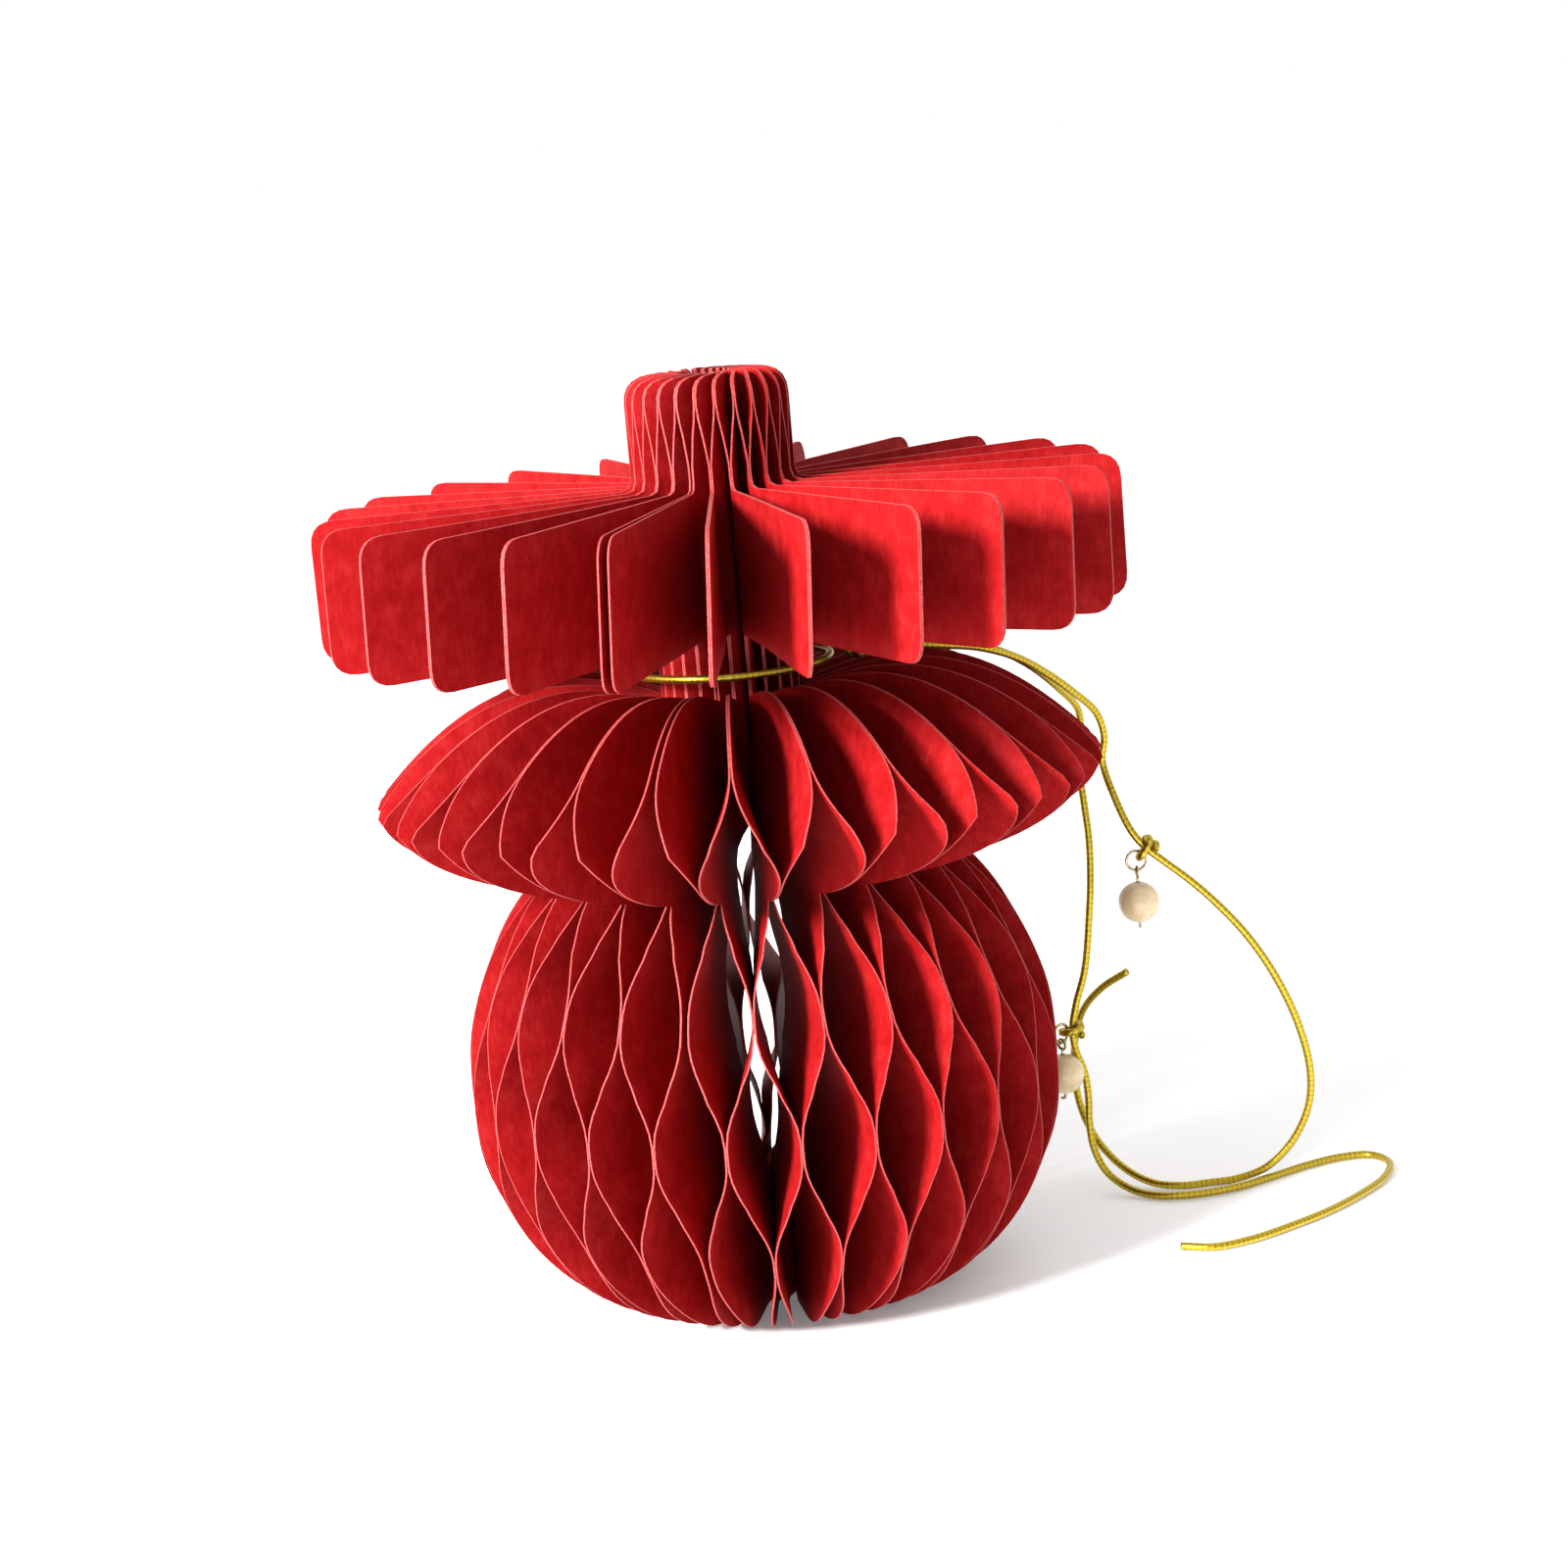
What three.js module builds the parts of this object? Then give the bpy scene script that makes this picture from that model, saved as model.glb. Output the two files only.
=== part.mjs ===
// A free-standing honeycomb paper lantern: 48 paper leaves round an open centre, and a gold cord
// tied round its neck with a pearl pendant on each tail.
// Millimetres, +Z up. The lantern stands on z = 0 with its centre line on the Z axis.
// An azimuth is counted from the front (-Y) towards the right (+X).
import * as THREE from 'three';

// Driving dimensions
const LEAF_COUNT = 48;
const LEAF_THICKNESS = 0.25;
const LEAF_INNER_RADIUS = 5;
const HOLLOW_BOTTOM = 20;          // the ball is hollow: its leaves are cut back between these heights
const HOLLOW_TOP = 90;
const HOLLOW_RADIUS = 24;
const SEAM_AZIMUTH = -15;          // where the first and the last leaf meet
const SPACING_WARP = 5.73;         // degrees: the leaves stand closer together at the seam
const BALL_RADIUS = 55.2;
const LENS_RADIUS = 66.8;
const NECK_RADIUS = 13;
const BRIM_RADIUS = 73.2;
const BRIM_BOTTOM = 124.9;
const BRIM_TOP = 150.8;
const CROWN_RADIUS = 14.9;
const CROWN_TOP = 171.1;
const CORD_RADIUS = 0.75;
const NECK_LOOP_RADIUS = 18.5;
const NECK_LOOP_Z = 118;
const NECK_KNOT_CENTRE = [22.9, -4, 119.5];
const NECK_COIL_RADIUS = 1.75;
const KNOT_COIL_RADIUS = 2.35;     // on the ring's side: leaves room for the wire beside the cord
const KNOT_TIGHT_RADIUS = 1.75;    // elsewhere the turn lies close to the cord
const RING_RADIUS = 1.9;
const WIRE_RADIUS = 0.3;
const EYE_RADIUS = 1;
const EYE_STEPS = 10;
const PEARL_RADIUS = 4;
const PEARL_BORE = 0.5;

// Routes of the two cord tails, as points chosen along each cord
const TAIL_1 = [
  [20.3, -3.6, 119.5], [25.3, -4.4, 119.5], [31, -4, 119], [38.7, -2, 117.9], [46, 2, 116.2],
  [53, 7, 113], [59, 12, 108.6], [64.5, 16.5, 103.5], [68.8, 20.8, 98.5], [70.2, 23, 93.5],
  [69.7, 24.2, 88.5], [71.4, 22.2, 81.5], [74, 20.4, 75], [76.6, 20, 71.6], [79.5, 20, 69],
  [84.5, 20, 64.6], [89, 20, 60], [95, 20.8, 52.5], [100.2, 22, 43.6], [104.5, 24, 33],
  [106.7, 26, 22.7], [106.2, 27.5, 15], [102.7, 28.5, 7.6], [97.5, 28.8, 2.8], [91.5, 28.6, 1],
  [86, 27.8, 0.95], [80.4, 27.4, 0.95], [75, 29.5, 1.3], [70, 33.5, 3.4], [65.6, 37, 8],
  [62.9, 39.5, 14], [61.9, 40.3, 20.5], [62.2, 40, 28], [64.1, 38, 35.5], [67.8, 34.5, 40.8],
  [72.6, 31, 44.6],
];
const TAIL_2 = [
  [25.9, -2, 119.6], [31, -1, 119.1], [38.5, 1.4, 117.9], [45.5, 5.7, 116.2], [52, 11, 113],
  [57.5, 17, 108.6], [62.2, 23, 103.5], [66.2, 28.8, 98], [66.6, 31, 92.5], [66, 32, 86],
  [66.4, 31.3, 79], [66.8, 30.5, 72], [66.5, 30, 64], [65.8, 30, 57], [64.2, 30, 46],
  [62, 30, 39], [61, 30, 34], [61.5, 30.5, 29.5], [62.9, 31.2, 25], [63.4, 31.5, 20],
  [63.2, 31, 14.5], [63.8, 30.5, 9], [65.9, 29.3, 4.4], [69.5, 26.8, 1.7], [73.5, 23.5, 0.95],
  [78.5, 21.5, 0.95], [85, 21.8, 0.95], [91.7, 24, 0.95], [99, 28.4, 0.95], [106.5, 33.2, 0.95],
  [113.5, 36.2, 0.95], [119.5, 36.2, 0.95], [122.2, 31, 0.95], [119.5, 22, 0.95],
  [112.5, 12.6, 0.95], [105, 5, 0.95], [96.8, -1.4, 0.95], [88.5, -6.8, 0.95], [81, -9.3, 0.95],
  [74.9, -7.4, 0.95],
];
const KNOT_1 = { centre: [76.6, 20, 71.6], along: [0.72, 0, -0.69], side: [-0.69, 0, -0.72] };
const KNOT_2 = { centre: [61, 30, 34], along: [0, 0, -1], side: [-0.8, -0.6, 0] };

const RED_PAPER = new THREE.MeshStandardMaterial({ color: 0xb81014, roughness: 0.85, metalness: 0 });
const GOLD_CORD = new THREE.MeshStandardMaterial({ color: 0xc8a842, roughness: 0.4, metalness: 0.6 });
const PEARL = new THREE.MeshStandardMaterial({ color: 0xf0e2cc, roughness: 0.2, metalness: 0 });
const WIRE = new THREE.MeshStandardMaterial({ color: 0xa89668, roughness: 0.3, metalness: 0.9 });

const lantern = new THREE.Group();

function addMesh(name, geometry, material) {
  const mesh = new THREE.Mesh(geometry, material);
  mesh.name = name;
  lantern.add(mesh);
  return mesh;
}

// The outline of one leaf: x is the distance from the centre line, y is the height.
function leafOutline() {
  const shape = new THREE.Shape();
  shape.moveTo(LEAF_INNER_RADIUS, 0);
  shape.lineTo(24, 0);
  shape.bezierCurveTo(40, 0, BALL_RADIUS, 18, BALL_RADIUS, 40);
  shape.bezierCurveTo(BALL_RADIUS, 56, 50, 70, 38.5, 81.5);
  shape.bezierCurveTo(50, 84, 62, 89, LENS_RADIUS - 1, 94.8);
  shape.lineTo(LENS_RADIUS, 96.5);
  shape.lineTo(LENS_RADIUS - 0.8, 98.3);
  shape.bezierCurveTo(60, 105, 47, 117.5, 30, 116.6);
  shape.bezierCurveTo(23, 116.2, 18, 114.5, NECK_RADIUS, 113);
  shape.lineTo(NECK_RADIUS, BRIM_BOTTOM);
  roundedCorner(shape, BRIM_RADIUS, BRIM_BOTTOM, -4.5, 4.5, false);
  roundedCorner(shape, BRIM_RADIUS, BRIM_TOP, -4.5, -4.5, true);
  shape.lineTo(CROWN_RADIUS + 2, BRIM_TOP);
  shape.quadraticCurveTo(CROWN_RADIUS, BRIM_TOP, CROWN_RADIUS, BRIM_TOP + 2);
  roundedCorner(shape, CROWN_RADIUS, CROWN_TOP, -5, -5, true);
  shape.lineTo(LEAF_INNER_RADIUS, CROWN_TOP);
  shape.lineTo(LEAF_INNER_RADIUS, HOLLOW_TOP);
  const middle = (HOLLOW_TOP + HOLLOW_BOTTOM) / 2;
  shape.quadraticCurveTo(HOLLOW_RADIUS, HOLLOW_TOP - 8, HOLLOW_RADIUS, middle);
  shape.quadraticCurveTo(HOLLOW_RADIUS, HOLLOW_BOTTOM + 8, LEAF_INNER_RADIUS, HOLLOW_BOTTOM);
  shape.closePath();
  return shape;
}

// A rounded corner at (x, y) that reaches along by dx and dy; upward says which leg comes first.
function roundedCorner(shape, x, y, dx, dy, upward) {
  const onHorizontal = [x + dx, y];
  const onVertical = [x, y + dy];
  const [first, last] = upward ? [onVertical, onHorizontal] : [onHorizontal, onVertical];
  shape.lineTo(...first);
  shape.quadraticCurveTo(x, y, ...last);
}

function leafAzimuth(index) {
  const turn = (index + 0.5) * 360 / LEAF_COUNT;
  return SEAM_AZIMUTH + turn - SPACING_WARP * Math.sin(THREE.MathUtils.degToRad(turn));
}

function addLeaves() {
  const sheet = new THREE.ExtrudeGeometry(leafOutline(), {
    depth: LEAF_THICKNESS, bevelEnabled: false, curveSegments: 5,
  });
  sheet.translate(0, 0, -LEAF_THICKNESS / 2);
  sheet.rotateX(Math.PI / 2);
  for (let index = 0; index < LEAF_COUNT; index += 1) {
    const leaf = addMesh(`leaf_${String(index + 1).padStart(2, '0')}`, sheet, RED_PAPER);
    leaf.rotation.z = THREE.MathUtils.degToRad(leafAzimuth(index) - 90);
  }
}

// An eight-sided section swept along a curve.
function sweep(curve, radius, steps) {
  const section = new THREE.Shape();
  for (let side = 0; side < 8; side += 1) {
    const angle = side * Math.PI / 4;
    const x = radius * Math.cos(angle);
    const y = radius * Math.sin(angle);
    if (side === 0) section.moveTo(x, y);
    else section.lineTo(x, y);
  }
  section.closePath();
  return new THREE.ExtrudeGeometry(section, { steps, extrudePath: curve, bevelEnabled: false });
}

function curveThrough(points) {
  return new THREE.CatmullRomCurve3(points.map((p) => new THREE.Vector3(...p)), false, 'centripetal');
}

// Turns of cord wound round an axis, centred on a point, with the middle of the coil on `side`.
// The radius is `wide` on that side and falls to `tight` on the other.
function coil({ centre, along, side, wide, tight, pitch, turns }) {
  const axis = new THREE.Vector3(...along).normalize();
  const up = new THREE.Vector3(...side).normalize();
  const across = new THREE.Vector3().crossVectors(axis, up);
  const points = [];
  const count = Math.round(turns * 14);
  for (let i = 0; i <= count; i += 1) {
    const turn = (i / count - 0.5) * turns;
    const angle = turn * 2 * Math.PI;
    const radius = tight + (wide - tight) * Math.max(0, Math.cos(angle));
    points.push(new THREE.Vector3(...centre)
      .addScaledVector(axis, turn * pitch)
      .addScaledVector(up, radius * Math.cos(angle))
      .addScaledVector(across, radius * Math.sin(angle)));
  }
  return sweep(new THREE.CatmullRomCurve3(points), CORD_RADIUS, count);
}

function addNeckCord() {
  const loop = new THREE.TorusGeometry(NECK_LOOP_RADIUS, CORD_RADIUS, 8, 48);
  loop.translate(0, 0, NECK_LOOP_Z);
  addMesh('neck_cord', loop, GOLD_CORD);
  const hitch = coil({
    centre: NECK_KNOT_CENTRE,
    along: [1, -0.16, 0],
    side: [0, 0, 1],
    wide: NECK_COIL_RADIUS,
    tight: NECK_COIL_RADIUS,
    pitch: 1.65,
    turns: 1.8,
  });
  addMesh('neck_knot', hitch, GOLD_CORD);
}

// A jump ring hung in the knot's turn, an eye pin linked in the ring, and a pearl on the pin.
function addPendant(number, knot) {
  const axis = new THREE.Vector3(...knot.along).normalize();
  const side = new THREE.Vector3(...knot.side).normalize();
  const ringAxis = new THREE.Vector3().crossVectors(axis, side).normalize();
  const ringCentre = new THREE.Vector3(...knot.centre)
    .addScaledVector(side, KNOT_COIL_RADIUS / 2 + RING_RADIUS);
  const facing = new THREE.Quaternion().setFromUnitVectors(new THREE.Vector3(0, 0, 1), ringAxis);

  const torus = new THREE.TorusGeometry(RING_RADIUS, WIRE_RADIUS, 8, 20);
  const ring = addMesh(`jump_ring_${number}`, torus, WIRE);
  ring.quaternion.copy(facing);
  ring.position.copy(ringCentre);

  // The eye stands in the upright plane that holds the ring's axis.
  const eyeCentre = ringCentre.clone().add(new THREE.Vector3(0, 0, -RING_RADIUS - WIRE_RADIUS));
  const pearlCentre = eyeCentre.clone().add(new THREE.Vector3(0, 0, -EYE_RADIUS - PEARL_RADIUS - 1));
  const onPin = (sideways, z) => new THREE.Vector3(eyeCentre.x, eyeCentre.y, z)
    .addScaledVector(ringAxis, sideways);
  const points = [];
  for (let i = 0; i <= EYE_STEPS; i += 1) {
    const angle = Math.PI * (1.38 - 1.88 * i / EYE_STEPS);
    points.push(onPin(EYE_RADIUS * Math.cos(angle), eyeCentre.z + EYE_RADIUS * Math.sin(angle)));
  }
  // The shank runs down through the pearl, and its foot is bent sideways to hold the pearl.
  const foot = pearlCentre.z - PEARL_RADIUS;
  points.push(onPin(0, pearlCentre.z + PEARL_RADIUS - 0.6));
  points.push(onPin(0, foot - 0.6));
  points.push(onPin(0.35, foot - 1));
  points.push(onPin(1.1, foot - 1.1));
  const pinLine = new THREE.CatmullRomCurve3(points, false, 'centripetal');
  addMesh(`eye_pin_${number}`, sweep(pinLine, WIRE_RADIUS, 40), WIRE);

  const pearl = addMesh(`pearl_${number}`, pearlGeometry(), PEARL);
  pearl.position.copy(pearlCentre);
}

function pearlGeometry() {
  const profile = [];
  const start = Math.asin(PEARL_BORE / PEARL_RADIUS);
  for (let i = 0; i <= 12; i += 1) {
    const angle = start + (Math.PI - 2 * start) * i / 12;
    profile.push(new THREE.Vector2(PEARL_RADIUS * Math.sin(angle), -PEARL_RADIUS * Math.cos(angle)));
  }
  profile.push(profile[0].clone());
  const pearl = new THREE.LatheGeometry(profile, 20);
  pearl.rotateX(Math.PI / 2);
  return pearl;
}

function addTails() {
  addMesh('cord_tail_1', sweep(curveThrough(TAIL_1), CORD_RADIUS, 80), GOLD_CORD);
  addMesh('cord_tail_2', sweep(curveThrough(TAIL_2), CORD_RADIUS, 80), GOLD_CORD);
  [KNOT_1, KNOT_2].forEach((knot, i) => {
    const turns = coil({ ...knot, wide: KNOT_COIL_RADIUS, tight: KNOT_TIGHT_RADIUS, pitch: 1.7, turns: 1.3 });
    addMesh(`knot_${i + 1}`, turns, GOLD_CORD);
    addPendant(i + 1, knot);
  });
}

addLeaves();
addNeckCord();
addTails();

export default lantern;
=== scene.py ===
"""Honeycomb paper lantern with a gold cord and pearl pendants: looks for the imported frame."""
import math

import bmesh
import bpy
import numpy as np
from mathutils import Matrix, Vector
from mathutils.geometry import delaunay_2d_cdt


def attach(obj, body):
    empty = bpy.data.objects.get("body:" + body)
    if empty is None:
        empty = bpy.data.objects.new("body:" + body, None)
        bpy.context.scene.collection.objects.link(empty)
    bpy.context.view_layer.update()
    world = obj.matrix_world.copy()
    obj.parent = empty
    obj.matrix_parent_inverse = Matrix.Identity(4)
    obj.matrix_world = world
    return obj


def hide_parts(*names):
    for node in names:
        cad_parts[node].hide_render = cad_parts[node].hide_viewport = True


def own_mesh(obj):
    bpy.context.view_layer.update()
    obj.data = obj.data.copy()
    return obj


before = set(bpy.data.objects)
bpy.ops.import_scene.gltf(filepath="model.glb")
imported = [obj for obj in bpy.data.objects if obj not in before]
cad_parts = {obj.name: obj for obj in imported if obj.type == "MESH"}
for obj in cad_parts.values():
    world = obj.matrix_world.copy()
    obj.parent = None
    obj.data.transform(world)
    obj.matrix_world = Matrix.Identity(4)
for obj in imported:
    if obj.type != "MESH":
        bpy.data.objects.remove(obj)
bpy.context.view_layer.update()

MM = 0.001
LEAF_COUNT = 48
SEAM_AZIMUTH = -15
SPACING_WARP = 5.73
INNER_RADIUS = 5
HOLLOW_BOTTOM = 20
HOLLOW_TOP = 90
HOLLOW_RADIUS = 24
BALL_RADIUS = 55.2
LENS_RADIUS = 66.8
NECK_RADIUS = 13
BRIM_RADIUS = 73.2
BRIM_BOTTOM = 124.9
BRIM_TOP = 150.8
CROWN_RADIUS = 14.9
CROWN_TOP = 171.1
PAPER = 0.3                 # visible thickness of a leaf
EDGE_CORNER = 4.5           # reach of the rounding at the brim's edge
CROWN_CORNER = 5
CORD_RADIUS = 0.75
BRAID_PITCH = 2.2
NECK_LOOP_RADIUS = 18.5
NECK_LOOP_Z = 118
RING_RADIUS = 1.9
KNOT_WIDE = 2.35            # the knot's turn on the ring's side
KNOT_TIGHT = 1.75           # and elsewhere
WIRE_RADIUS = 0.3
PEARL_RADIUS = 4
PEARL_BORE = 0.5
STANDING_LEAF = 24

# Heights of the glue rows: +1 joins a leaf to the partner it has in the brim, -1 to the other one.
GLUE_ROWS = [(0, 0.2), (18, 1), (41, -1), (63, 1), (86, -1), (110, 1), (154, 1), (167, -1), (172, -1)]

TAIL_1 = [
    (20.3, -3.6, 119.5), (25.3, -4.4, 119.5), (31, -4, 119), (38.7, -2, 117.9), (46, 2, 116.2),
    (53, 7, 113), (59, 12, 108.6), (64.5, 16.5, 103.5), (68.8, 20.8, 98.5), (70.2, 23, 93.5),
    (69.7, 24.2, 88.5), (71.4, 22.2, 81.5), (74, 20.4, 75), (76.6, 20, 71.6), (79.5, 20, 69),
    (84.5, 20, 64.6), (89, 20, 60), (95, 20.8, 52.5), (100.2, 22, 43.6), (104.5, 24, 33),
    (106.7, 26, 22.7), (106.2, 27.5, 15), (102.7, 28.5, 7.6), (97.5, 28.8, 2.8), (91.5, 28.6, 1),
    (86, 27.8, 0.95), (80.4, 27.4, 0.95), (75, 29.5, 1.3), (70, 33.5, 3.4), (65.6, 37, 8),
    (62.9, 39.5, 14), (61.9, 40.3, 20.5), (62.2, 40, 28), (64.1, 38, 35.5), (67.8, 34.5, 40.8),
    (72.6, 31, 44.6),
]
TAIL_2 = [
    (25.9, -2, 119.6), (31, -1, 119.1), (38.5, 1.4, 117.9), (45.5, 5.7, 116.2), (52, 11, 113),
    (57.5, 17, 108.6), (62.2, 23, 103.5), (66.2, 28.8, 98), (66.6, 31, 92.5), (66, 32, 86),
    (66.4, 31.3, 79), (66.8, 30.5, 72), (66.5, 30, 64), (65.8, 30, 57), (64.2, 30, 46),
    (62, 30, 39), (61, 30, 34), (61.5, 30.5, 29.5), (62.9, 31.2, 25), (63.4, 31.5, 20),
    (63.2, 31, 14.5), (63.8, 30.5, 9), (65.9, 29.3, 4.4), (69.5, 26.8, 1.7), (73.5, 23.5, 0.95),
    (78.5, 21.5, 0.95), (85, 21.8, 0.95), (91.7, 24, 0.95), (99, 28.4, 0.95), (106.5, 33.2, 0.95),
    (113.5, 36.2, 0.95), (119.5, 36.2, 0.95), (122.2, 31, 0.95), (119.5, 22, 0.95),
    (112.5, 12.6, 0.95), (105, 5, 0.95), (96.8, -1.4, 0.95), (88.5, -6.8, 0.95), (81, -9.3, 0.95),
    (74.9, -7.4, 0.95),
]
KNOTS = {
    1: dict(centre=(76.6, 20, 71.6), along=(0.72, 0, -0.69), side=(-0.69, 0, -0.72)),
    2: dict(centre=(61, 30, 34), along=(0, 0, -1), side=(-0.8, -0.6, 0)),
}


# ---------------------------------------------------------------- materials
def new_material(name, colour, roughness, metallic=0.0):
    mat = bpy.data.materials.new(name)
    mat.use_nodes = True
    shader = mat.node_tree.nodes["Principled BSDF"]
    shader.inputs["Base Color"].default_value = (*colour, 1)
    shader.inputs["Roughness"].default_value = roughness
    shader.inputs["Metallic"].default_value = metallic
    return mat, mat.node_tree, shader


def noise(tree, scale, detail, stretch=(1, 1, 1), roughness=0.6):
    """Noise in object space; scale is in cycles per metre."""
    coords = tree.nodes.new("ShaderNodeTexCoord")
    mapping = tree.nodes.new("ShaderNodeMapping")
    mapping.inputs["Scale"].default_value = stretch
    texture = tree.nodes.new("ShaderNodeTexNoise")
    texture.inputs["Scale"].default_value = scale
    texture.inputs["Detail"].default_value = detail
    texture.inputs["Roughness"].default_value = roughness
    tree.links.new(coords.outputs["Object"], mapping.inputs["Vector"])
    tree.links.new(mapping.outputs["Vector"], texture.inputs["Vector"])
    return texture.outputs["Fac"]


def ramp(tree, factor, stops):
    node = tree.nodes.new("ShaderNodeValToRGB")
    elements = node.color_ramp.elements
    while len(elements) < len(stops):
        elements.new(0.5)
    for element, (place, colour) in zip(elements, stops):
        element.position = place
        element.color = (*colour, 1)
    tree.links.new(factor, node.inputs["Fac"])
    return node.outputs["Color"]


def bump(tree, shader, height, strength, distance):
    node = tree.nodes.new("ShaderNodeBump")
    node.inputs["Strength"].default_value = strength
    node.inputs["Distance"].default_value = distance
    tree.links.new(height, node.inputs["Height"])
    tree.links.new(node.outputs["Normal"], shader.inputs["Normal"])


def paper_material():
    """Dyed tissue: saturated red, with long fibres and faint cloudy mottling."""
    mat, tree, shader = new_material("red_paper", (0.25, 0.004, 0.005), 0.62)
    clouds = noise(tree, 260, 5)
    fibres = noise(tree, 1500, 3, (1, 1, 0.25))
    mix = tree.nodes.new("ShaderNodeMix")
    mix.data_type = "FLOAT"
    mix.inputs["Factor"].default_value = 0.4
    tree.links.new(clouds, mix.inputs["A"])
    tree.links.new(fibres, mix.inputs["B"])
    colour = ramp(tree, mix.outputs["Result"], [
        (0.3, (0.18, 0.002, 0.0025)), (0.5, (0.245, 0.005, 0.006)), (0.72, (0.31, 0.014, 0.014)),
    ])
    tree.links.new(colour, shader.inputs["Base Color"])
    shader.inputs["Specular IOR Level"].default_value = 0.05
    bump(tree, shader, mix.outputs["Result"], 0.25, 0.0001)
    return mat


def edge_highlight_material():
    """The cut edge, painted a lighter red than the faces: a painted highlight along the sheet's edge."""
    mat, tree, shader = new_material("paper_edge_highlight", (0.72, 0.06, 0.06), 0.8)
    speckle = noise(tree, 3000, 2)
    # Lighter, speckled red on the cut edges: a painted highlight, its speckle random.
    colour = ramp(tree, speckle, [(0.35, (0.26, 0.012, 0.012)), (0.65, (0.42, 0.06, 0.055))])
    tree.links.new(colour, shader.inputs["Base Color"])
    return mat


def cord_material():
    """Metallic gold braid with painted shade between its strands and a painted highlight on their crests,
    both driven by the strand height that the mesh carries.
    """
    mat, tree, shader = new_material("gold_cord", (0.42, 0.31, 0.04), 0.34, 0.95)
    braid_shade = tree.nodes.new("ShaderNodeAttribute")
    braid_shade.attribute_name = "braid_shade"
    # Darkest in the grooves and lightest on the crests: painted shade and painted highlight.
    colour = ramp(tree, braid_shade.outputs["Fac"], [
        (0.05, (0.16, 0.1, 0.008)), (0.4, (0.44, 0.315, 0.02)), (0.9, (0.62, 0.48, 0.07)),
    ])
    tree.links.new(colour, shader.inputs["Base Color"])
    bump(tree, shader, noise(tree, 5000, 2), 0.3, 0.00005)
    return mat


def pearl_material():
    mat, tree, shader = new_material("pearl_gloss", (0.6, 0.47, 0.3), 0.22)
    clouds = noise(tree, 220, 3)
    colour = ramp(tree, clouds, [
        (0.3, (0.58, 0.43, 0.23)), (0.55, (0.72, 0.57, 0.35)), (0.75, (0.7, 0.55, 0.37)),
    ])
    tree.links.new(colour, shader.inputs["Base Color"])
    shader.inputs["Coat Weight"].default_value = 0.5
    shader.inputs["Coat Roughness"].default_value = 0.06
    return mat


def wire_material():
    mat, tree, shader = new_material("plated_wire", (0.5, 0.42, 0.25), 0.25, 1)
    tarnish = noise(tree, 900, 3)
    colour = ramp(tree, tarnish, [(0.35, (0.32, 0.25, 0.13)), (0.65, (0.62, 0.54, 0.35))])
    tree.links.new(colour, shader.inputs["Base Color"])
    return mat


PAPER_RED = paper_material()
PAPER_EDGE_HIGHLIGHT = edge_highlight_material()
GOLD = cord_material()
PEARL = pearl_material()
WIRE = wire_material()


# ---------------------------------------------------------------- leaves
def bezier(p0, p1, p2, p3, steps=12):
    t = np.linspace(0, 1, steps + 1)[1:, None]
    p0, p1, p2, p3 = (np.array(p, float) for p in (p0, p1, p2, p3))
    return list((1 - t) ** 3 * p0 + 3 * (1 - t) ** 2 * t * p1 + 3 * (1 - t) * t ** 2 * p2 + t ** 3 * p3)


def quadratic(p0, p1, p2, steps=14):
    t = np.linspace(0, 1, steps + 1)[1:, None]
    return list((1 - t) ** 2 * np.array(p0) + 2 * (1 - t) * t * np.array(p1) + t ** 2 * np.array(p2))


def corner(x, y, dx, dy, upward):
    first, last = ((x, y + dy), (x + dx, y)) if upward else ((x + dx, y), (x, y + dy))
    return [np.array(first, float)] + quadratic(first, (x, y), last, 5)


def leaf_outline():
    """The leaf's outline as (distance from the centre line, height), in millimetres."""
    points = [(INNER_RADIUS, 0), (24, 0)]
    points += bezier((24, 0), (40, 0), (BALL_RADIUS, 18), (BALL_RADIUS, 40), 18)
    points += bezier((BALL_RADIUS, 40), (BALL_RADIUS, 56), (50, 70), (38.5, 81.5), 18)
    points += bezier((38.5, 81.5), (50, 84), (62, 89), (LENS_RADIUS - 1, 94.8), 12)
    points += [(LENS_RADIUS, 96.5), (LENS_RADIUS - 0.8, 98.3)]
    points += bezier((LENS_RADIUS - 0.8, 98.3), (60, 105), (47, 117.5), (30, 116.6), 16)
    points += bezier((30, 116.6), (23, 116.2), (18, 114.5), (NECK_RADIUS, 113), 6)
    points += [(NECK_RADIUS, BRIM_BOTTOM)]
    points += corner(BRIM_RADIUS, BRIM_BOTTOM, -EDGE_CORNER, EDGE_CORNER, False)
    points += corner(BRIM_RADIUS, BRIM_TOP, -EDGE_CORNER, -EDGE_CORNER, True)
    points += [(CROWN_RADIUS + 2, BRIM_TOP), (CROWN_RADIUS + 0.5, BRIM_TOP + 0.5)]
    points += [(CROWN_RADIUS, BRIM_TOP + 2)]
    points += corner(CROWN_RADIUS, CROWN_TOP, -CROWN_CORNER, -CROWN_CORNER, True)
    points += [(INNER_RADIUS, CROWN_TOP), (INNER_RADIUS, HOLLOW_TOP)]
    middle = (HOLLOW_TOP + HOLLOW_BOTTOM) / 2
    widest = (HOLLOW_RADIUS, middle)
    points += quadratic((INNER_RADIUS, HOLLOW_TOP), (HOLLOW_RADIUS, HOLLOW_TOP - 8), widest)
    points += quadratic(widest, (HOLLOW_RADIUS, HOLLOW_BOTTOM + 8), (INNER_RADIUS, HOLLOW_BOTTOM))
    return np.array(points, float)


def subdivide(loop, longest):
    """The same closed outline with no side longer than `longest`."""
    out = []
    for a, b in zip(loop, np.roll(loop, -1, axis=0)):
        parts = max(1, int(math.ceil(np.hypot(*(b - a)) / longest)))
        out += [a + (b - a) * k / parts for k in range(parts)]
    return np.array(out)


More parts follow.
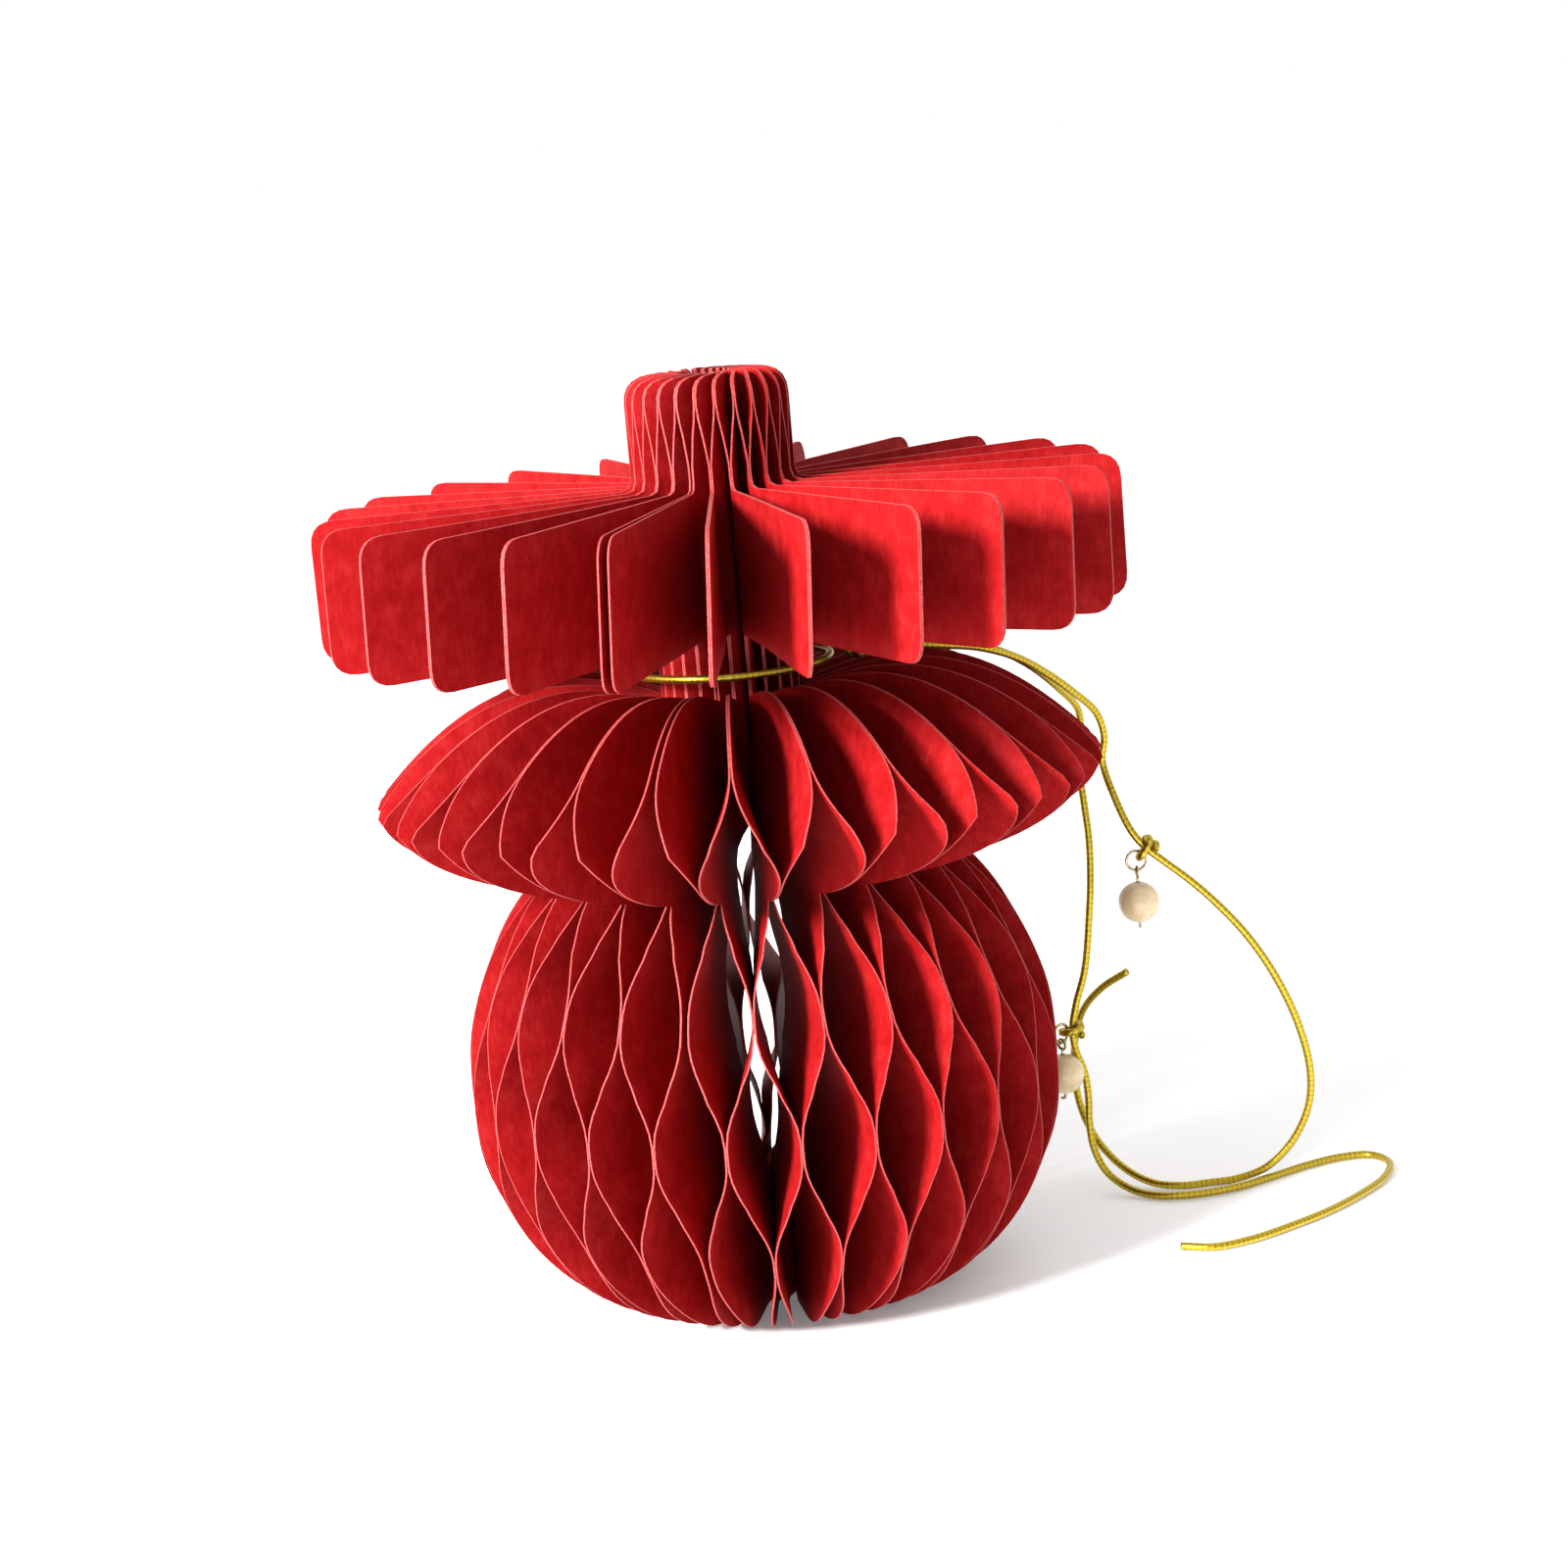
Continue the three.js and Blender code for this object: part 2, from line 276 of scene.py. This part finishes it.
def flat_leaf(spacing=3.0):
    """Triangulates the outline with points inside it, and returns points, triangles and the rim."""
    rim = subdivide(leaf_outline(), spacing)
    inside = []
    for row, z in enumerate(np.arange(spacing / 2, CROWN_TOP, spacing * 0.85)):
        shift = spacing / 2 * (row % 2)
        for r in np.arange(INNER_RADIUS + 1.2 + shift, BRIM_RADIUS, spacing):
            gaps = np.hypot(*(rim - (r, z)).T)
            if gaps.min() > spacing * 0.45 and within(rim, r, z):
                inside.append((r, z))
    points = [Vector(p) for p in rim] + [Vector(p) for p in inside]
    edges = [(k, (k + 1) % len(rim)) for k in range(len(rim))]
    verts, _, faces, *_ = delaunay_2d_cdt(points, edges, [], 1, 1e-5)
    return np.array([tuple(v) for v in verts]), [tuple(f) for f in faces], len(rim)


def within(loop, r, z):
    x0, y0 = loop.T
    x1, y1 = np.roll(loop, -1, axis=0).T
    crosses = (y0 > z) != (y1 > z)
    at = x0 + (z - y0) / np.where(y1 == y0, 1, y1 - y0) * (x1 - x0)
    return np.count_nonzero(crosses & (r < at)) % 2 == 1


def leaf_azimuth(index):
    turn = (index + 0.5) * 360 / LEAF_COUNT
    return SEAM_AZIMUTH + turn - SPACING_WARP * math.sin(math.radians(turn))


def glue(z):
    """How far a leaf leans to its brim partner (+1) or to its other neighbour (-1) at a height."""
    heights = np.array([h for h, _ in GLUE_ROWS], float)
    values = np.array([v for _, v in GLUE_ROWS], float)
    k = np.clip(np.searchsorted(heights, z, side="right") - 1, 0, len(heights) - 2)
    t = np.clip((z - heights[k]) / (heights[k + 1] - heights[k]), 0, 1)
    t = np.clip((t - 0.06) / 0.88, 0, 1)
    return values[k] + (values[k + 1] - values[k]) * (1 - np.cos(np.pi * t)) / 2


def smooth(x):
    x = np.clip(x, 0, 1)
    return x * x * (3 - 2 * x)


def leaf_offset(index, r, z):
    """Azimuth, in degrees, by which the curved sheet leaves its flat mid plane."""
    partner_step = 1 if index % 2 else -1
    to_partner = (leaf_azimuth(index + partner_step) - leaf_azimuth(index)) / 2
    to_other = (leaf_azimuth(index - partner_step) - leaf_azimuth(index)) / 2
    lean = glue(z)
    if index in (0, LEAF_COUNT - 1):
        lean = np.where(lean > 0, lean * 0.84, lean)
    share = (1 + lean) / 2
    offset = share * to_partner + (1 - share) * to_other
    clear = np.degrees((PAPER / 2 + 0.03) / r)
    offset = np.sign(offset) * np.maximum(np.abs(offset) - clear, 0)
    # Both leaves of a pair drift together in the brim, and the whole brim twists a little.
    pair = (index + 1) // 2 % (LEAF_COUNT // 2)
    out = smooth((r - 18) / 45) * smooth((z - 122) / 4) * smooth((BRIM_TOP + 4 - z) / 3)
    # Near the centre line the sheets curl round together, except in the hollow.
    solid = np.maximum(smooth((z - 84) / 8), smooth((26 - z) / 6))
    curl = 26 * smooth((15 - r) / 10) * solid
    drift = 0.55 * math.sin(pair * 2.7) + 0.35 * math.sin(pair * 4.9 + 1)
    twist = -1.2 * (BRIM_TOP - z) / (BRIM_TOP - BRIM_BOTTOM)
    return offset + out * (drift + twist) + curl


def make_leaf(index, flat, faces, rim_count):
    name = f"leaf_{index + 1:02d}"
    r, z = flat.T
    azimuth = np.radians(leaf_azimuth(index) + leaf_offset(index, r, z))
    mid = np.stack([r * np.sin(azimuth), -r * np.cos(azimuth), z], 1)
    normal = np.stack([np.cos(azimuth), np.sin(azimuth), np.zeros_like(r)], 1)
    verts = np.concatenate([mid + normal * PAPER / 2, mid - normal * PAPER / 2]) * MM
    count = len(flat)
    front = [tuple(f) for f in faces]
    back = [tuple(v + count for v in reversed(f)) for f in faces]
    rim = [(k, (k + 1) % rim_count) for k in range(rim_count)]
    sides = [(b, a, a + count, b + count) for a, b in rim]
    mesh = bpy.data.meshes.new(f"paper_{name}")
    mesh.from_pydata([tuple(v) for v in verts], [], front + back + sides)
    mesh.materials.append(PAPER_RED)
    # Second slot: the lighter edge colour, a painted highlight on the cut edges.
    mesh.materials.append(PAPER_EDGE_HIGHLIGHT)
    material = np.zeros(len(mesh.polygons), int)
    material[len(front) + len(back):] = 1
    mesh.polygons.foreach_set("material_index", material)
    smooth_face = np.ones(len(mesh.polygons), bool)
    smooth_face[len(front) + len(back):] = False
    mesh.polygons.foreach_set("use_smooth", smooth_face)
    bm = bmesh.new()
    bm.from_mesh(mesh)
    bmesh.ops.recalc_face_normals(bm, faces=bm.faces)
    for edge in bm.edges:
        edge.smooth = len({f.material_index for f in edge.link_faces}) == 1
    bm.to_mesh(mesh)
    bm.free()
    leaf = bpy.data.objects.new(f"paper_{name}", mesh)
    bpy.context.collection.objects.link(leaf)
    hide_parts(name)
    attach(leaf, "standing_leaf" if index + 1 == STANDING_LEAF else name)
    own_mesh(leaf)
    return leaf


# ---------------------------------------------------------------- cord
def centripetal(points, step):
    """A smooth curve through the points, sampled about every `step` millimetres."""
    p = np.array(points, float)
    p = np.vstack([2 * p[0] - p[1], p, 2 * p[-1] - p[-2]])
    out = []
    for p0, p1, p2, p3 in zip(p, p[1:], p[2:], p[3:]):
        t0 = 0.0
        t1 = t0 + np.linalg.norm(p1 - p0) ** 0.5
        t2 = t1 + np.linalg.norm(p2 - p1) ** 0.5
        t3 = t2 + np.linalg.norm(p3 - p2) ** 0.5
        parts = max(2, int(np.linalg.norm(p2 - p1) / step))
        for t in np.linspace(t1, t2, parts, endpoint=False):
            a1 = (t1 - t) / (t1 - t0) * p0 + (t - t0) / (t1 - t0) * p1
            a2 = (t2 - t) / (t2 - t1) * p1 + (t - t1) / (t2 - t1) * p2
            a3 = (t3 - t) / (t3 - t2) * p2 + (t - t2) / (t3 - t2) * p3
            b1 = (t2 - t) / (t2 - t0) * a1 + (t - t0) / (t2 - t0) * a2
            b2 = (t3 - t) / (t3 - t1) * a2 + (t - t1) / (t3 - t1) * a3
            out.append((t2 - t) / (t2 - t1) * b1 + (t - t1) / (t2 - t1) * b2)
    return np.array(out + [p[-2]])


def tube(name, line, radius, sides=12, braided=True, closed=False):
    """A tube round a line; a braided one has strands that stand out of its surface."""
    line = np.array(line, float)
    tangents = np.gradient(line, axis=0)
    if closed:
        tangents = np.roll(line, -1, axis=0) - np.roll(line, 1, axis=0)
    tangents /= np.linalg.norm(tangents, axis=1)[:, None]
    normal = np.cross(tangents[0], (0.3, 0.5, 0.8))
    normal /= np.linalg.norm(normal)
    along = np.concatenate([[0], np.cumsum(np.linalg.norm(np.diff(line, axis=0), axis=1))])
    angles = np.arange(sides) * 2 * np.pi / sides
    verts, braid_shade = [], []
    for point, tangent, s in zip(line, tangents, along):
        normal = normal - tangent * (normal @ tangent)
        normal /= np.linalg.norm(normal)
        across = np.cross(tangent, normal)
        twist = s * 2 * np.pi / BRAID_PITCH
        height = 0.5 + 0.5 * np.cos(2 * angles + twist) * np.cos(2 * angles - twist)
        grow = radius * (0.985 + 0.015 * height if braided else np.ones(sides))
        sideways = np.outer(grow * np.cos(angles), normal)
        verts += list(point + sideways + np.outer(grow * np.sin(angles), across))
        braid_shade += list(height)
    rings = len(line)
    faces = []
    for i in range(rings if closed else rings - 1):
        for k in range(sides):
            a = i * sides + k
            b = i * sides + (k + 1) % sides
            c = (i + 1) % rings * sides + (k + 1) % sides
            d = (i + 1) % rings * sides + k
            faces.append((a, b, c, d))
    if not closed:
        faces.append(tuple(reversed(range(sides))))
        faces.append(tuple(range((rings - 1) * sides, rings * sides)))
    mesh = bpy.data.meshes.new(name)
    mesh.from_pydata([tuple(v) for v in np.array(verts) * MM], [], faces)
    mesh.polygons.foreach_set("use_smooth", np.ones(len(mesh.polygons), bool))
    # The strand height goes to the shader as painted shade in the grooves and a painted highlight on the
    # crests.
    if braided:
        attribute = mesh.attributes.new("braid_shade", "FLOAT", "POINT")
        attribute.data.foreach_set("value", np.array(braid_shade, np.float32))
    mesh.materials.append(GOLD if braided else WIRE)
    obj = bpy.data.objects.new(name, mesh)
    bpy.context.collection.objects.link(obj)
    return obj


def unit(v):
    v = np.array(v, float)
    return v / np.linalg.norm(v)


def coil_line(centre, along, side, wide, tight, pitch, turns):
    """Turns round an axis; the radius is `wide` on `side` and falls to `tight` on the other."""
    axis, up = unit(along), unit(side)
    across = np.cross(axis, up)
    turn = np.linspace(-0.5, 0.5, int(turns * 40) + 1) * turns
    angle = (turn * 2 * np.pi)[:, None]
    radius = tight + (wide - tight) * np.maximum(0, np.cos(angle))
    out = radius * (np.cos(angle) * up + np.sin(angle) * across)
    return np.array(centre) + turn[:, None] * pitch * axis + out


def length_of(line):
    return float(np.linalg.norm(np.diff(line, axis=0), axis=1).sum())


def replace_node(obj, node, body):
    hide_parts(node)
    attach(obj, body)
    return obj


def make_pendant(number, knot):
    body = f"pendant_{number}"
    axis, side = unit(knot["along"]), unit(knot["side"])
    ring_axis = unit(np.cross(axis, side))
    ring_centre = np.array(knot["centre"]) + side * (KNOT_WIDE / 2 + RING_RADIUS)
    up = np.array((0, 0, 1.0))
    level = unit(np.cross(up, ring_axis))

    turn = np.linspace(0.02, 2 * np.pi - 0.02, 72)[:, None]
    ring_line = ring_centre + RING_RADIUS * (np.cos(turn + 0.8) * level + np.sin(turn + 0.8) * up)
    ring = tube(f"ring_{number}", ring_line, WIRE_RADIUS, 12, False)
    replace_node(ring, f"jump_ring_{number}", body)

    eye = ring_centre - (0, 0, RING_RADIUS + 0.3)
    pearl_centre = eye - (0, 0, 6)
    angles = (np.pi * (1.38 - 1.88 * np.linspace(0, 1, 11)))[:, None]
    points = list(eye + np.cos(angles) * ring_axis + np.sin(angles) * up)
    foot = pearl_centre[2] - PEARL_RADIUS
    points += [np.array((eye[0], eye[1], pearl_centre[2] + PEARL_RADIUS - 0.6))]
    points += [np.array((eye[0], eye[1], foot - 0.6))]
    points += [np.array((eye[0], eye[1], foot - 1)) + 0.35 * ring_axis]
    points += [np.array((eye[0], eye[1], foot - 1.1)) + 1.1 * ring_axis]
    pin = tube(f"pin_{number}", centripetal(points, 0.3), WIRE_RADIUS, 12, False)
    replace_node(pin, f"eye_pin_{number}", body)

    bead = make_bead(f"bead_{number}", pearl_centre)
    replace_node(bead, f"pearl_{number}", body)
    return ring, pin, bead


def make_bead(name, centre):
    """A pearl with a drilled hole whose mouths are softly countersunk."""
    start = math.asin((PEARL_BORE + 0.15) / PEARL_RADIUS)
    sweep = np.linspace(start, np.pi - start, 40)
    profile = [(PEARL_RADIUS * math.sin(a), -PEARL_RADIUS * math.cos(a)) for a in sweep]
    mouth = profile[-1][1]
    profile += [(PEARL_BORE + 0.05, mouth - 0.06), (PEARL_BORE, mouth - 0.3)]
    profile += [(PEARL_BORE, -mouth + 0.3), (PEARL_BORE + 0.05, -mouth + 0.06)]
    around = 72
    verts = [
        (centre[0] + r * math.cos(t), centre[1] + r * math.sin(t), centre[2] + h)
        for r, h in profile for t in np.arange(around) * 2 * np.pi / around
    ]
    rows = len(profile)
    faces = [
        (i * around + k, i * around + (k + 1) % around,
         (i + 1) % rows * around + (k + 1) % around, (i + 1) % rows * around + k)
        for i in range(rows) for k in range(around)
    ]
    mesh = bpy.data.meshes.new(name)
    mesh.from_pydata([tuple(np.array(v) * MM) for v in verts], [], faces)
    mesh.polygons.foreach_set("use_smooth", np.ones(len(mesh.polygons), bool))
    mesh.materials.append(PEARL)
    bead = bpy.data.objects.new(name, mesh)
    bpy.context.collection.objects.link(bead)
    return bead


def make_cords():
    turn = np.linspace(0, 2 * np.pi, 240, endpoint=False)
    loop = np.stack([
        NECK_LOOP_RADIUS * np.sin(turn), -NECK_LOOP_RADIUS * np.cos(turn), np.full_like(turn, NECK_LOOP_Z),
    ], 1)
    replace_node(tube("neck_loop", loop, CORD_RADIUS, closed=True), "neck_cord", "standing_leaf")
    knot_line = coil_line((22.9, -4, 119.5), (1, -0.16, 0), (0, 0, 1), 1.75, 1.75, 1.65, 1.8)
    replace_node(tube("neck_hitch", knot_line, CORD_RADIUS), "neck_knot", "standing_leaf")

    for number, route in ((1, TAIL_1), (2, TAIL_2)):
        line = centripetal(route, 0.45)
        tail = tube(f"tail_{number}", line, CORD_RADIUS)
        replace_node(tail, f"cord_tail_{number}", "standing_leaf")
        knot = KNOTS[number]
        knot_line = coil_line(knot["centre"], knot["along"], knot["side"], KNOT_WIDE, KNOT_TIGHT, 1.7, 1.3)
        hitch = replace_node(
            tube(f"tail_knot_{number}", knot_line, CORD_RADIUS), f"knot_{number}", "standing_leaf")
        pieces = [hitch, *make_pendant(number, knot)]
        print(f"tail {number}: {length_of(line):.1f} mm")


# ---------------------------------------------------------------- camera, light and floor
def make_camera():
    """The photograph's view: from the front, slightly above, with the camera turned about its axis."""
    elevation, distance, roll = math.radians(11.17), 0.6, math.radians(-5.02)
    aim = Vector((0, 0, 0.095))
    forward = Vector((0, math.cos(elevation), -math.sin(elevation)))
    level = Vector((1, 0, 0))
    upright = level.cross(forward)
    right = math.cos(roll) * level + math.sin(roll) * upright
    up = -math.sin(roll) * level + math.cos(roll) * upright
    camera = bpy.data.objects.new("camera", bpy.data.cameras.new("camera"))
    turn = Matrix((right, up, -forward)).transposed()
    camera.matrix_world = Matrix.Translation(aim - forward * distance) @ turn.to_4x4()
    camera.data.sensor_width = 36
    camera.data.lens = 74.7
    camera.data.shift_x = 0.028
    camera.data.clip_start = 0.02
    bpy.context.collection.objects.link(camera)
    bpy.context.scene.camera = camera


def area_light(name, place, target, size, watts):
    light = bpy.data.lights.new(name, "AREA")
    light.shape = "DISK"
    light.size = size
    light.energy = watts
    obj = bpy.data.objects.new(name, light)
    obj.location = place
    obj.rotation_euler = (Vector(target) - Vector(place)).to_track_quat("-Z", "Y").to_euler()
    bpy.context.collection.objects.link(obj)


def make_stage():
    mesh = bpy.data.meshes.new("floor")
    size = 40
    corners = [(-size, -size, 0), (size, -size, 0), (size, size, 0), (-size, size, 0)]
    mesh.from_pydata(corners, [], [(0, 1, 2, 3)])
    mat, tree, shader = new_material("pale_floor", (0.93, 0.93, 0.93), 0.6)
    colour = ramp(tree, noise(tree, 30, 2), [(0.3, (0.9, 0.9, 0.9)), (0.7, (0.93, 0.93, 0.93))])
    tree.links.new(colour, shader.inputs["Base Color"])
    shader.inputs["Emission Color"].default_value = (1, 1, 1, 1)
    shader.inputs["Emission Strength"].default_value = 0.14
    mesh.materials.append(mat)
    floor = bpy.data.objects.new("floor", mesh)
    bpy.context.collection.objects.link(floor)
    world = bpy.data.worlds.new("studio")
    world.use_nodes = True
    world.node_tree.nodes["Background"].inputs["Color"].default_value = (1, 1, 1, 1)
    world.node_tree.nodes["Background"].inputs["Strength"].default_value = 1.0
    bpy.context.scene.world = world
    bpy.context.scene.view_settings.view_transform = "Standard"
    area_light("key", (-0.66, -0.66, 0.5), (0, 0, 0.11), 0.3, 38)


make_camera()
make_cords()
flat, triangles, rim_points = flat_leaf()
for leaf_index in range(LEAF_COUNT):
    make_leaf(leaf_index, flat, triangles, rim_points)
make_stage()
